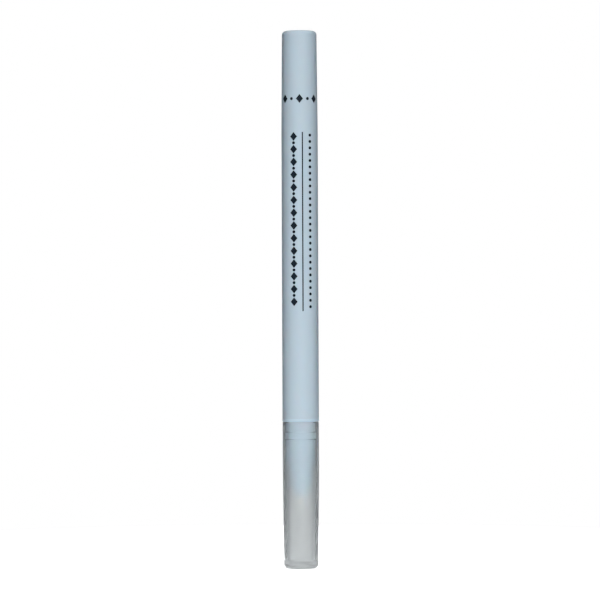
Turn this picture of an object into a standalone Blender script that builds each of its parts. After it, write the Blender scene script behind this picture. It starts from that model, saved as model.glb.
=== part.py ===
"""A nail polish corrector pen with a felt nib, a fibre reservoir and a frosted cap that pulls off.

The pen stands upright on the foot of its cap. The origin is the centre of that foot, +Z runs along the
pen towards the closed end of its barrel, and every size is the real one. Diameters are outside
diameters unless the name says otherwise, and a fit is the clearance on one side.
"""

import math

import bmesh
import bpy
from mathutils import Matrix, Vector

MM = 0.001

# Barrel: one long moulding with a closed end, drafted along its length and drawn in over its last stretch
BARREL_LENGTH = 101.0 * MM
BARREL_DIAMETER = 9.5 * MM
BARREL_DRAFT = 0.03 * MM
BARREL_WALL = 1.05 * MM
BARREL_END_DRAW = 0.22 * MM
BARREL_END_DRAW_LENGTH = 26.5 * MM
BARREL_END_ROUNDING = 1.05 * MM
BARREL_END_WALL = 1.2 * MM
GATE_DIMPLE_DIAMETER = 2.8 * MM
GATE_DIMPLE_DEPTH = 0.3 * MM

# Seat in the barrel's mouth, where the front section is pushed in until its rings click
SEAT_WALL = 0.8 * MM
SEAT_CHAMFER = 0.2 * MM
SEAT_FIT = 0.05 * MM
SEAT_END_GAP = 0.3 * MM

# Ribs inside the barrel centre the reservoir, and at the rear they reach in as fins and stop it
RIB_COUNT = 6
RIB_THICKNESS = 0.5 * MM
FIN_LENGTH = 5.2 * MM
FIN_RAMP = 0.3 * MM
FIN_OPENING_DIAMETER = 3.2 * MM

# Cap: a thin frosted cup, flush with the barrel and drawn in towards its closed end, which is the foot
CAP_LENGTH = 38.2 * MM
CAP_RIM_GAP = 0.3 * MM
CAP_SET_BACK = 0.03 * MM
CAP_WALL = 0.85 * MM
CAP_FIT = 0.2 * MM
CAP_END_DRAW = 0.32 * MM
CAP_STRAIGHT_LENGTH = 8.5 * MM
CAP_END_ROUNDING = 1.0 * MM
CAP_RIM_ROUNDING = 0.2 * MM
CAP_MOUTH_CHAMFER = 0.25 * MM
CAP_FLOOR_THICKNESS = 1.0 * MM
CAP_FLOOR_FILLET = 0.8 * MM
FOOT_RECESS_DEPTH = 0.25 * MM
FOOT_RECESS_DIAMETER = 5.2 * MM
FOOT_RECESS_CHAMFER = 0.15 * MM

# Snap: a bead round the neck, broken by vents for the air, that clicks into a groove in the cap
SNAP_BEAD_DISTANCE = 3.9 * MM
SNAP_BEAD_WIDTH = 1.7 * MM
SNAP_BEAD_HEIGHT = 0.15 * MM
SNAP_GROOVE_DEPTH = 0.12 * MM
SNAP_FIT = 0.15 * MM
VENT_COUNT = 4
VENT_WIDTH = 1.3 * MM
VENT_DEPTH = 0.1 * MM
VENT_RUN_OUT = 0.3 * MM
VENT_TURN = math.radians(56)

# Front section outside the barrel: a flange that the cap closes on, a neck, a slimmer nose and a cone
FLANGE_HEIGHT = 0.45 * MM
FLANGE_ROUNDING = 0.3 * MM
FLANGE_FIT = 0.05 * MM
NECK_LENGTH = 11.3 * MM
NECK_WALL = 0.6 * MM
SHOULDER_LENGTH = 0.8 * MM
SHOULDER_WALL = 0.6 * MM
NOSE_LENGTH = 4.6 * MM
NOSE_WALL = 0.75 * MM
THROAT_CLEARANCE = 1.0 * MM
CONE_LENGTH = 2.5 * MM
TIP_WALL = 0.55 * MM
TIP_ROUNDING = 0.25 * MM
COLLAR_LENGTH = 4.7 * MM

# Plug: the front section inside the barrel, with rings that click into the seat's grooves
PLUG_LENGTH = 13.5 * MM
PLUG_CHAMFER = 0.25 * MM
RING_COUNT = 2
RING_DEPTH = 4.0 * MM
RING_SPACING = 3.6 * MM
RING_WIDTH = 1.0 * MM
RING_HEIGHT = 0.12 * MM
RING_FIT = 0.1 * MM

# Nib: a rod of bonded polyester fibre with a blunt point, held by ribs in the collar of the front section
NIB_DIAMETER = 2.2 * MM
NIB_PROTRUSION = 3.9 * MM
NIB_REACH = 3.7 * MM
NIB_POINT_LENGTH = 2.2 * MM
NIB_POINT_RADIUS = 0.35 * MM
NIB_TAIL_CHAMFER = 0.3 * MM
NIB_FIT = 0.05 * MM
NIB_RIB_COUNT = 3
NIB_RIB_THICKNESS = 0.5 * MM
NIB_RIB_HEIGHT = 0.2 * MM

# Reservoir: a rod of fibre soaked with the remover, in a sleeve of plastic film
RESERVOIR_CHAMFER = 0.3 * MM
RESERVOIR_END_GAP = 0.1 * MM
RESERVOIR_FIT = 0.1 * MM
FILM_THICKNESS = 0.1 * MM
FILM_FIT = 0.05 * MM
FILM_SET_BACK = 0.6 * MM
NIB_HOLE_FIT = 0.1 * MM
NIB_HOLE_END_GAP = 0.4 * MM

# How far a cutter runs past the face that it cuts, and how near two points are one
OVERRUN = 0.5 * MM
MERGE_DISTANCE = 0.001 * MM

# How the drawn-in stretches curve: 1 is a straight cone, and more starts gently
BARREL_DRAW_POWER = 1.1
CAP_DRAW_POWER = 1.45

# Flats around a turned shape, steps along a curved outline and along a small rounding
ROUND_STEPS = 48
NIB_STEPS = 24
DRAW_STEPS = 6
ROUNDING_STEPS = 4
ARC_STEPS_BETWEEN_RIBS = 6
SHARP_ANGLE = math.radians(30)

# Radii that several pieces share
BARREL_RADIUS = BARREL_DIAMETER / 2
CAP_RIM_RADIUS = BARREL_RADIUS - CAP_SET_BACK
CAP_BORE_RADIUS = CAP_RIM_RADIUS - CAP_WALL
NECK_RADIUS = CAP_BORE_RADIUS - CAP_FIT
SEAT_RADIUS = BARREL_RADIUS - SEAT_WALL
PLUG_RADIUS = SEAT_RADIUS - SEAT_FIT
CAVITY_RADIUS = NECK_RADIUS - NECK_WALL
FILM_OUTER_RADIUS = CAVITY_RADIUS - RESERVOIR_FIT
FILM_INNER_RADIUS = FILM_OUTER_RADIUS - FILM_THICKNESS
CORE_RADIUS = FILM_INNER_RADIUS - FILM_FIT
NIB_RADIUS = NIB_DIAMETER / 2
NIB_RIB_RADIUS = NIB_RADIUS + NIB_FIT
NIB_BORE_RADIUS = NIB_RIB_RADIUS + NIB_RIB_HEIGHT
TIP_RADIUS = NIB_BORE_RADIUS + TIP_WALL
THROAT_RADIUS = NIB_RADIUS + THROAT_CLEARANCE
NOSE_RADIUS = THROAT_RADIUS + NOSE_WALL

# Heights in the pen's own frame, whose origin is the centre of the face that the cap closes on
NECK_END = -NECK_LENGTH
NOSE_TOP = NECK_END - SHOULDER_LENGTH
CONE_TOP = NOSE_TOP - NOSE_LENGTH
TIP = CONE_TOP - CONE_LENGTH
COLLAR_END = TIP + COLLAR_LENGTH
CAVITY_FLOOR = NECK_END + SHOULDER_WALL
PLUG_END = FLANGE_HEIGHT + PLUG_LENGTH
MOUTH = FLANGE_HEIGHT + FLANGE_FIT
SEAT_END = PLUG_END + SEAT_END_GAP
BARREL_END = MOUTH + BARREL_LENGTH
BORE_END = BARREL_END - BARREL_END_WALL
FIN_START = BORE_END - FIN_LENGTH
RESERVOIR_FRONT = CAVITY_FLOOR + RESERVOIR_END_GAP
RESERVOIR_REAR = FIN_START - RESERVOIR_END_GAP
NIB_POINT = TIP - NIB_PROTRUSION
NIB_TAIL = RESERVOIR_FRONT + NIB_REACH

# Height of the pen's own frame over the foot of the cap, with the cap on
PEN_HEIGHT = CAP_LENGTH + CAP_RIM_GAP

# Linear colour, roughness and alpha of each material
FINISHES = {
    "pale_blue_polypropylene": ((0.53, 0.64, 0.72), 0.42, 1.0),
    "frosted_polypropylene": ((0.72, 0.76, 0.78), 0.5, 0.55),
    "polyester_felt": ((0.86, 0.86, 0.83), 0.95, 1.0),
    "reservoir_fibre": ((0.80, 0.81, 0.80), 0.95, 1.0),
    "clear_film": ((0.88, 0.91, 0.93), 0.15, 0.35),
}


def clear_scene():
    """Removes what the file holds, so that only the pen is in it."""
    for item in list(bpy.data.objects):
        bpy.data.objects.remove(item)


def finish(name):
    """The material of that name, made the first time that it is asked for."""
    if name in bpy.data.materials:
        return bpy.data.materials[name]
    colour, roughness, alpha = FINISHES[name]
    material = bpy.data.materials.new(name)
    material.use_nodes = True
    shader = material.node_tree.nodes["Principled BSDF"]
    shader.inputs["Base Color"].default_value = (*colour, 1.0)
    shader.inputs["Roughness"].default_value = roughness
    shader.inputs["Metallic"].default_value = 0.0
    shader.inputs["Alpha"].default_value = alpha
    material.diffuse_color = (*colour, alpha)
    return material


def object_from(name, bm, parent=None, height=0.0):
    """Makes an object of a bmesh, at this height over its parent."""
    bmesh.ops.recalc_face_normals(bm, faces=bm.faces)
    mesh = bpy.data.meshes.new(name)
    bm.to_mesh(mesh)
    bm.free()
    mesh.shade_smooth()
    mesh.set_sharp_from_angle(angle=SHARP_ANGLE)
    made = bpy.data.objects.new(name, mesh)
    bpy.context.scene.collection.objects.link(made)
    made.parent = parent
    made.location = (0.0, 0.0, height)
    return made


def turned(outline, steps=ROUND_STEPS, ring=False):
    """A bmesh turned about Z from an outline of (radius, height). A ring's outline closes on itself."""
    bm = bmesh.new()
    corners = [bm.verts.new((radius, 0.0, height)) for radius, height in outline]
    for first, second in zip(corners, corners[1:]):
        bm.edges.new((first, second))
    if ring:
        bm.edges.new((corners[-1], corners[0]))
    bmesh.ops.spin(
        bm,
        geom=list(bm.verts) + list(bm.edges),
        cent=(0.0, 0.0, 0.0),
        axis=(0.0, 0.0, 1.0),
        angle=2 * math.pi,
        steps=steps,
        use_merge=True,
    )
    bmesh.ops.remove_doubles(bm, verts=bm.verts, dist=MERGE_DISTANCE)
    return bm


def arc(centre_radius, centre_height, radius, start, end, steps=ROUNDING_STEPS):
    """Points of an outline along an arc between two angles in degrees, 0 pointing outwards and 90 up."""
    angles = [math.radians(start + (end - start) * i / steps) for i in range(steps + 1)]
    return [(centre_radius + radius * math.cos(a), centre_height + radius * math.sin(a)) for a in angles]


def bump(radius, height, centre, width):
    """Outline of a ridge, or of a groove where height is negative, up along a wall of this radius."""
    crest_share = 0.4
    half = width / 2
    return [
        (radius, centre - half),
        (radius + height, centre - half * crest_share),
        (radius + height, centre + half * crest_share),
        (radius, centre + half),
    ]


def evenly(start, end, steps):
    """Values from start to end, both included."""
    return [start + (end - start) * i / steps for i in range(steps + 1)]


def ribbed_loop(bm, height, bore_radius, tip_radius, count, thickness):
    """One cross-section of a bore with ribs that point at its axis, as a closed loop of edges."""
    half = thickness / 2
    pitch = 2 * math.pi / count
    root_angle = math.asin(half / bore_radius)
    corners = []
    for i in range(count):
        along = Matrix.Rotation(i * pitch, 3, "Z")
        corners += [along @ Vector((tip_radius, side, height)) for side in (-half, half)]
        for k in range(ARC_STEPS_BETWEEN_RIBS + 1):
            span = pitch - 2 * root_angle
            turn = i * pitch + root_angle + span * k / ARC_STEPS_BETWEEN_RIBS
            corners.append(Vector((bore_radius * math.cos(turn), bore_radius * math.sin(turn), height)))
    points = [bm.verts.new(corner) for corner in corners]
    return [bm.edges.new((a, b)) for a, b in zip(points, points[1:] + points[:1])]


def ribbed_bore(name, stations, count, thickness, parent):
    """Cutter for a ribbed bore, lofted through stations of (height, bore radius, rib tip radius)."""
    bm = bmesh.new()
    loops = [ribbed_loop(bm, *station, count, thickness) for station in stations]
    for lower, upper in zip(loops, loops[1:]):
        bmesh.ops.bridge_loops(bm, edges=lower + upper)
    for end in (loops[0], loops[-1]):
        bmesh.ops.contextual_create(bm, geom=end)
    return as_cutter(object_from(name, bm, parent))


def as_cutter(helper):
    """Keeps a helper out of the model: it only cuts."""
    helper.hide_render = True
    helper.display_type = "WIRE"
    return helper


def cut(target, cutter):
    """Takes the cutter out of the target with a Boolean that stays live."""
    step = target.modifiers.new("cut_" + cutter.name, "BOOLEAN")
    step.operation = "DIFFERENCE"
    step.solver = "EXACT"
    step.object = cutter


def cap_outer_radius(height):
    """Outside of the cap at a height over its foot: straight below the rim, then drawn in to its end."""
    draw_length = CAP_LENGTH - CAP_STRAIGHT_LENGTH
    share = max(0.0, (draw_length - height) / draw_length)
    return CAP_RIM_RADIUS - CAP_END_DRAW * share**CAP_DRAW_POWER


def barrel_outer_radius(height):
    """Outside of the barrel at a height in the pen's frame."""
    draft_share = (height - MOUTH) / BARREL_LENGTH
    draw_share = max(0.0, (height - BARREL_END + BARREL_END_DRAW_LENGTH) / BARREL_END_DRAW_LENGTH)
    return BARREL_RADIUS - BARREL_DRAFT * draft_share - BARREL_END_DRAW * draw_share**BARREL_DRAW_POWER


def make_cap():
    """The cap: a cup whose wall keeps its thickness, with the snap's groove and a slightly hollow foot."""
    floor = FOOT_RECESS_DEPTH + CAP_FLOOR_THICKNESS
    draw_start = CAP_LENGTH - CAP_STRAIGHT_LENGTH
    fillet_top = floor + CAP_FLOOR_FILLET
    fillet_radius = cap_outer_radius(fillet_top) - CAP_WALL - CAP_FLOOR_FILLET
    groove = PEN_HEIGHT - SNAP_BEAD_DISTANCE
    recess_radius = FOOT_RECESS_DIAMETER / 2
    inside = [(0.0, floor)]
    inside += arc(fillet_radius, fillet_top, CAP_FLOOR_FILLET, -90, 0)
    inside += [(cap_outer_radius(z) - CAP_WALL, z) for z in evenly(fillet_top, draw_start, DRAW_STEPS)[1:]]
    inside += bump(CAP_BORE_RADIUS, SNAP_GROOVE_DEPTH, groove, SNAP_BEAD_WIDTH + 2 * SNAP_FIT)
    inside.append((CAP_BORE_RADIUS, CAP_LENGTH - CAP_MOUTH_CHAMFER))
    rim = [(CAP_BORE_RADIUS + CAP_MOUTH_CHAMFER, CAP_LENGTH)]
    rim_rounding_radius = CAP_RIM_RADIUS - CAP_RIM_ROUNDING
    rim += arc(rim_rounding_radius, CAP_LENGTH - CAP_RIM_ROUNDING, CAP_RIM_ROUNDING, 90, 0)
    outside = [(cap_outer_radius(z), z) for z in evenly(draw_start, CAP_END_ROUNDING, DRAW_STEPS)[:-1]]
    end_rounding_radius = cap_outer_radius(CAP_END_ROUNDING) - CAP_END_ROUNDING
    outside += arc(end_rounding_radius, CAP_END_ROUNDING, CAP_END_ROUNDING, 0, -90)
    foot = [
        (recess_radius + FOOT_RECESS_CHAMFER, 0.0),
        (recess_radius, FOOT_RECESS_CHAMFER),
        (recess_radius, FOOT_RECESS_DEPTH),
        (0.0, FOOT_RECESS_DEPTH),
    ]
    cap = object_from("cap", turned(inside + rim + outside + foot))
    cap.data.materials.append(finish("frosted_polypropylene"))


def ring_heights():
    """Middles of the plug's rings, which are also those of the grooves in the seat."""
    return [FLANGE_HEIGHT + RING_DEPTH + i * RING_SPACING for i in range(RING_COUNT)]


def make_barrel(pen):
    """The barrel: turned outside, then the seat, its grooves and the ribbed bore cut from the mouth."""
    draw_start = BARREL_END - BARREL_END_DRAW_LENGTH
    round_start = BARREL_END - BARREL_END_ROUNDING
    dimple_radius = GATE_DIMPLE_DIAMETER / 2
    dimple_floor = BARREL_END - GATE_DIMPLE_DEPTH
    outline = [(0.0, MOUTH), (BARREL_RADIUS, MOUTH)]
    outline += [(barrel_outer_radius(z), z) for z in evenly(draw_start, round_start, DRAW_STEPS)[:-1]]
    rounding_radius = barrel_outer_radius(round_start) - BARREL_END_ROUNDING
    outline += arc(rounding_radius, round_start, BARREL_END_ROUNDING, 0, 90)
    outline += [
        (dimple_radius, BARREL_END),
        (dimple_radius - GATE_DIMPLE_DEPTH, dimple_floor),
        (0.0, dimple_floor),
    ]
    barrel = object_from("barrel", turned(outline), pen)
    barrel.data.materials.append(finish("pale_blue_polypropylene"))
    cut(barrel, seat_cutter(pen))
    cut(barrel, bore_cutter(pen))


def seat_cutter(pen):
    """Room for the plug and its rings, with a lead-in at the mouth."""
    groove_depth = PLUG_RADIUS + RING_HEIGHT + SEAT_FIT - SEAT_RADIUS
    outline = [
        (0.0, MOUTH - OVERRUN),
        (SEAT_RADIUS + SEAT_CHAMFER + OVERRUN, MOUTH - OVERRUN),
        (SEAT_RADIUS, MOUTH + SEAT_CHAMFER),
    ]
    for middle in ring_heights():
        outline += bump(SEAT_RADIUS, groove_depth, middle, RING_WIDTH + 2 * RING_FIT)
    outline += [(SEAT_RADIUS, SEAT_END), (0.0, SEAT_END)]
    return as_cutter(object_from("seat_cutter", turned(outline), pen))


def bore_cutter(pen):
    """The ribbed bore behind the seat, where the ribs turn into fins before the closed end."""
    bore_start = SEAT_END - OVERRUN
    fin_radius = FIN_OPENING_DIAMETER / 2
    draw_start = BARREL_END - BARREL_END_DRAW_LENGTH
    fin_full = FIN_START + FIN_RAMP
    rib_tips = [
        (bore_start, CAVITY_RADIUS),
        (draw_start, CAVITY_RADIUS),
        (FIN_START, CAVITY_RADIUS),
        (fin_full, fin_radius),
        (BORE_END, fin_radius),
    ]
    stations = [(z, barrel_outer_radius(z) - BARREL_WALL, rib_tip) for z, rib_tip in rib_tips]
    return ribbed_bore("bore_cutter", stations, RIB_COUNT, RIB_THICKNESS, pen)


def make_front_section(pen):
    """The front section: cone, nose, neck and flange outside the barrel, and a ringed plug inside it."""
    outline = [(0.0, TIP)]
    outline += arc(TIP_RADIUS - TIP_ROUNDING, TIP + TIP_ROUNDING, TIP_ROUNDING, -90, 0)
    outline += [(NOSE_RADIUS, CONE_TOP), (NOSE_RADIUS, NOSE_TOP), (NECK_RADIUS, NECK_END)]
    outline += bump(NECK_RADIUS, SNAP_BEAD_HEIGHT, -SNAP_BEAD_DISTANCE, SNAP_BEAD_WIDTH)
    outline.append((NECK_RADIUS, 0.0))
    outline += arc(BARREL_RADIUS - FLANGE_ROUNDING, FLANGE_ROUNDING, FLANGE_ROUNDING, -90, 0)
    outline += [(BARREL_RADIUS, FLANGE_HEIGHT), (PLUG_RADIUS, FLANGE_HEIGHT)]
    for middle in ring_heights():
        outline += bump(PLUG_RADIUS, RING_HEIGHT, middle, RING_WIDTH)
    outline += [
        (PLUG_RADIUS, PLUG_END - PLUG_CHAMFER),
        (PLUG_RADIUS - PLUG_CHAMFER, PLUG_END),
        (CAVITY_RADIUS + PLUG_CHAMFER, PLUG_END),
        (CAVITY_RADIUS, PLUG_END - PLUG_CHAMFER),
        (CAVITY_RADIUS, CAVITY_FLOOR),
        (THROAT_RADIUS, CAVITY_FLOOR),
        (THROAT_RADIUS, COLLAR_END),
        (0.0, COLLAR_END),
    ]
    section = object_from("front_section", turned(outline), pen)
    section.data.materials.append(finish("pale_blue_polypropylene"))
    ends = (TIP - OVERRUN, COLLAR_END + OVERRUN)
    stations = [(z, NIB_BORE_RADIUS, NIB_RIB_RADIUS) for z in ends]
    cut(section, ribbed_bore("nib_bore_cutter", stations, NIB_RIB_COUNT, NIB_RIB_THICKNESS, pen))
    cut(section, vent_cutter(pen))


def vent_cutter(pen):
    """Blocks around the neck that break the snap bead, so that air passes when the cap goes on."""
    depth = VENT_DEPTH + SNAP_BEAD_HEIGHT + OVERRUN
    height = SNAP_BEAD_WIDTH + 2 * VENT_RUN_OUT
    middle = NECK_RADIUS - VENT_DEPTH + depth / 2
    bm = bmesh.new()
    for i in range(VENT_COUNT):
        turn = Matrix.Rotation(VENT_TURN + 2 * math.pi * i / VENT_COUNT, 4, "Z")
        place = Matrix.Translation((middle, 0.0, -SNAP_BEAD_DISTANCE))
        bmesh.ops.create_cube(
            bm, size=1.0, matrix=turn @ place @ Matrix.Diagonal((depth, VENT_WIDTH, height, 1.0))
        )
    return as_cutter(object_from("vent_cutter", bm, pen))


def make_nib(pen):
    """The nib: its origin is its point, and the flank of the cone leaves the rounded point smoothly."""
    length = NIB_TAIL - NIB_POINT
    rise = NIB_POINT_LENGTH - NIB_POINT_RADIUS
    slope = math.atan2(rise, NIB_RADIUS)
    tangent = math.degrees(slope - math.acos(NIB_POINT_RADIUS / math.hypot(NIB_RADIUS, rise)))
    outline = arc(0.0, NIB_POINT_RADIUS, NIB_POINT_RADIUS, -90, tangent)
    outline += [
        (NIB_RADIUS, NIB_POINT_LENGTH),
        (NIB_RADIUS, length - NIB_TAIL_CHAMFER),
        (NIB_RADIUS - NIB_TAIL_CHAMFER, length),
        (0.0, length),
    ]
    nib = object_from("nib", turned(outline, NIB_STEPS), pen, NIB_POINT)
    nib.data.materials.append(finish("polyester_felt"))


def make_reservoir_core(pen):
    """The soaked rod of fibre, with the hole that the nib's tail presses into its front end."""
    shoulder = CORE_RADIUS - RESERVOIR_CHAMFER
    hole_radius = NIB_RADIUS + NIB_HOLE_FIT
    hole_end = NIB_TAIL + NIB_HOLE_END_GAP
    outline = [
        (0.0, hole_end),
        (hole_radius, hole_end),
        (hole_radius, RESERVOIR_FRONT),
        (shoulder, RESERVOIR_FRONT),
        (CORE_RADIUS, RESERVOIR_FRONT + RESERVOIR_CHAMFER),
        (CORE_RADIUS, RESERVOIR_REAR - RESERVOIR_CHAMFER),
        (shoulder, RESERVOIR_REAR),
        (0.0, RESERVOIR_REAR),
    ]
    core = object_from("reservoir_core", turned(outline), pen)
    core.data.materials.append(finish("reservoir_fibre"))


def make_reservoir_film(pen):
    """The film sleeve round the core, open at both ends."""
    front = RESERVOIR_FRONT + FILM_SET_BACK
    rear = RESERVOIR_REAR - FILM_SET_BACK
    outline = [
        (FILM_INNER_RADIUS, front),
        (FILM_OUTER_RADIUS, front),
        (FILM_OUTER_RADIUS, rear),
        (FILM_INNER_RADIUS, rear),
    ]
    film = object_from("reservoir_film", turned(outline, ring=True), pen)
    film.data.materials.append(finish("clear_film"))


def main():
    clear_scene()
    make_cap()
    pen = bpy.data.objects.new("pen", None)
    bpy.context.scene.collection.objects.link(pen)
    pen.location = (0.0, 0.0, PEN_HEIGHT)
    make_barrel(pen)
    make_front_section(pen)
    make_nib(pen)
    make_reservoir_core(pen)
    make_reservoir_film(pen)


main()
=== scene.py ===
"""A nail polish corrector pen: the finish of its mouldings, felt and print, and the studio it stands in.

It is laid out as an add-on and run as a script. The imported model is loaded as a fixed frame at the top, and
each operator dresses one piece of it. main() calls them in order. Heights are in metres over the cap's foot.
"""

import math

import bmesh
import bpy
from bpy.props import FloatProperty, FloatVectorProperty, IntProperty, PointerProperty
from mathutils import Matrix, Vector, noise


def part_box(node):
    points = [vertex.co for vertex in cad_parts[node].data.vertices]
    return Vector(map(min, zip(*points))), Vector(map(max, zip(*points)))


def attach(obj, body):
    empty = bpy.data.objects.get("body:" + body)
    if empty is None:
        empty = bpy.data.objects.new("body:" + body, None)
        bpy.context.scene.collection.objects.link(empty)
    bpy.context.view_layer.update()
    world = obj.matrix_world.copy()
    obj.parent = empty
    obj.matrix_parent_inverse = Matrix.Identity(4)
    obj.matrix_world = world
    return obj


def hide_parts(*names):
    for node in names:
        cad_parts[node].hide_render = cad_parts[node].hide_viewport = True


bl_info = {
    "name": "Nail Polish Corrector Pen",
    "version": (1, 0, 0),
    "blender": (4, 5, 0),
    "location": "View3D > Sidebar > Corrector Pen",
    "description": "Dresses the packed model of a nail polish corrector pen and sets its studio",
    "category": "Add Mesh",
}

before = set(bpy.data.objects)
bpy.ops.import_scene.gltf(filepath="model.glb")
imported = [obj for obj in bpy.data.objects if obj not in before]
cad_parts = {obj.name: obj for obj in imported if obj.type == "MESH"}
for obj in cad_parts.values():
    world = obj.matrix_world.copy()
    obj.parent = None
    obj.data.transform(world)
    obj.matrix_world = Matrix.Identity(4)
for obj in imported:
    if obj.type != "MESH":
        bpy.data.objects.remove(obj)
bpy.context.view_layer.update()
MM = 0.001

# What the frame gives: the ends and outside radii of each piece
CAP_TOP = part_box("cap")[1][2]
CAP_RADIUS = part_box("cap")[1][0]
BARREL_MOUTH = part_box("barrel")[0][2]
BARREL_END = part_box("barrel")[1][2]
BARREL_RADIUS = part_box("barrel")[1][0]
SECTION_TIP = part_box("front_section")[0][2]
PLUG_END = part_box("front_section")[1][2]
NIB_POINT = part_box("nib")[0][2]
NIB_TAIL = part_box("nib")[1][2]
NIB_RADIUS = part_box("nib")[1][0]

# Height from which the neck and its snap bead are measured: the flange's face in the solids
NECK_TOP = CAP_TOP + 0.3 * MM

# Steps round a turned piece, rings along the nib, steps along a drawn-in stretch and over a rounding
ROUND_STEPS = 160
NIB_STEPS = 144
NIB_RINGS = 90
DRAW_STEPS = 14
ROUNDING_STEPS = 6

# Angle from which an edge shows
SHARP_ANGLE = math.radians(35)

# Distance from its ends at which a long straight wall is held flat, so that the shading of its rounded edges
# ends there, and the length from which a wall counts as long
HOLD = 0.06 * MM
LONG = 6 * HOLD

# Points of a turned piece that lie nearer than this become one
MERGED = 0.0005 * MM

# Share of its radius with which a rounding is drawn where the next point is as near as its end
END_SHARE = 0.98
FILLET_SHARE = 0.95

# How far a rib is sunk in the wall that it stands on
SUNK = 0.1 * MM

# Corners of a printed dot, and cuts round the barrel and along it by which the flat print bends
DOT_CORNERS = 24
BENDS_ROUND = 60
BENDS_ALONG = 24

# Stands a flat shape up, to face the lens
UPRIGHT = Matrix.Rotation(math.radians(90), 4, "X")

# Most of what a noise texture gives lies between these
NOISE_LOW = 0.3
NOISE_HIGH = 0.7

# Places of the softboxes, and their widths and heights, in metres. The rear ones stand on both sides.
KEY_PLACE, KEY_SIZE = (0.08, -1.2, 0.15), (0.7, 0.3)
FILL_PLACE, FILL_SIZE = (0.08, -1.2, 0.4), (1.6, 0.8)
REAR_PLACE, REAR_SIZE = (0.3, 0.95, 0.3), (0.3, 0.3)


def linear(code):
    """Linear colour of an sRGB hex code."""
    channels = [int(code[i : i + 2], 16) / 255 for i in (1, 3, 5)]
    return tuple(c / 12.92 if c <= 0.04045 else ((c + 0.055) / 1.055) ** 2.4 for c in channels)


def length(name, description, default):
    """A property that holds a length, given in millimetres."""
    return FloatProperty(name=name, description=description, default=default * MM, unit="LENGTH", precision=5)


def number(name, description, default):
    """A property that holds a plain number."""
    return FloatProperty(name=name, description=description, default=default)


def count(name, description, default):
    """A property that holds a count."""
    return IntProperty(name=name, description=description, default=default)


def angle(name, description, default):
    """A property that holds an angle, given in degrees."""
    return FloatProperty(name=name, description=description, default=math.radians(default), subtype="ANGLE")


def colour(name, description, code):
    """A property that holds a colour, given as an sRGB hex code."""
    return FloatVectorProperty(
        name=name, description=description, default=linear(code), subtype="COLOR", min=0.0, max=1.0
    )


class BarrelSettings(bpy.types.PropertyGroup):
    tint: colour("Tint", "Pale blue of the moulded polypropylene", "#B5C6D2")
    wall: length("Wall", "Thickness of the barrel's wall", 1.05)
    draft: length("Draft", "How much the radius shrinks from the mouth to the end", 0.03)
    draw: length("Draw", "How much more it shrinks over the last stretch", 0.22)
    draw_length: length("Draw Length", "Length of that last stretch", 26.5)
    draw_power: number("Draw Power", "1 is a straight cone", 1.1)
    end_rounding: length("End Rounding", "Radius round the closed end", 1.05)
    end_wall: length("End Wall", "Thickness of the closed end", 1.2)
    bore_rounding: length("Bore Rounding", "Radius round the closed end of the bore", 0.4)
    dimple_radius: length("Dimple Radius", "Radius of the gate's dimple", 1.4)
    dimple_depth: length("Dimple Depth", "Depth of the gate's dimple", 0.3)
    dimple_rim: length("Dimple Rim", "Radius of the edge round the dimple", 0.06)
    dimple_rounding: length("Dimple Rounding", "Radius round the bottom of the dimple", 0.1)
    seat_wall: length("Seat Wall", "Wall round the plug of the front section", 0.8)
    seat_clearance: length("Seat Clearance", "How far the seat runs past the plug", 0.3)
    groove_clearance: length("Groove Clearance", "How much wider the seat's grooves are than the rings", 0.2)
    mouth_chamfer: length("Mouth Chamfer", "Lead-in at the barrel's mouth", 0.2)
    mouth_rounding: length("Mouth Rounding", "Radius of the mouth's outer edge", 0.03)
    rib_count: count("Rib Count", "Ribs inside the barrel", 6)
    rib_thickness: length("Rib Thickness", "Thickness of the ribs and fins", 0.5)
    rib_radius: length("Rib Radius", "How near the ribs come to the axis", 3.07)
    fin_radius: length("Fin Radius", "How near the fins come to the axis", 1.6)
    fin_length: length("Fin Length", "Length of the fins that stop the reservoir", 5.2)
    fin_slope: length("Fin Slope", "How far the edge that stops it slopes back", 0.3)


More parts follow.
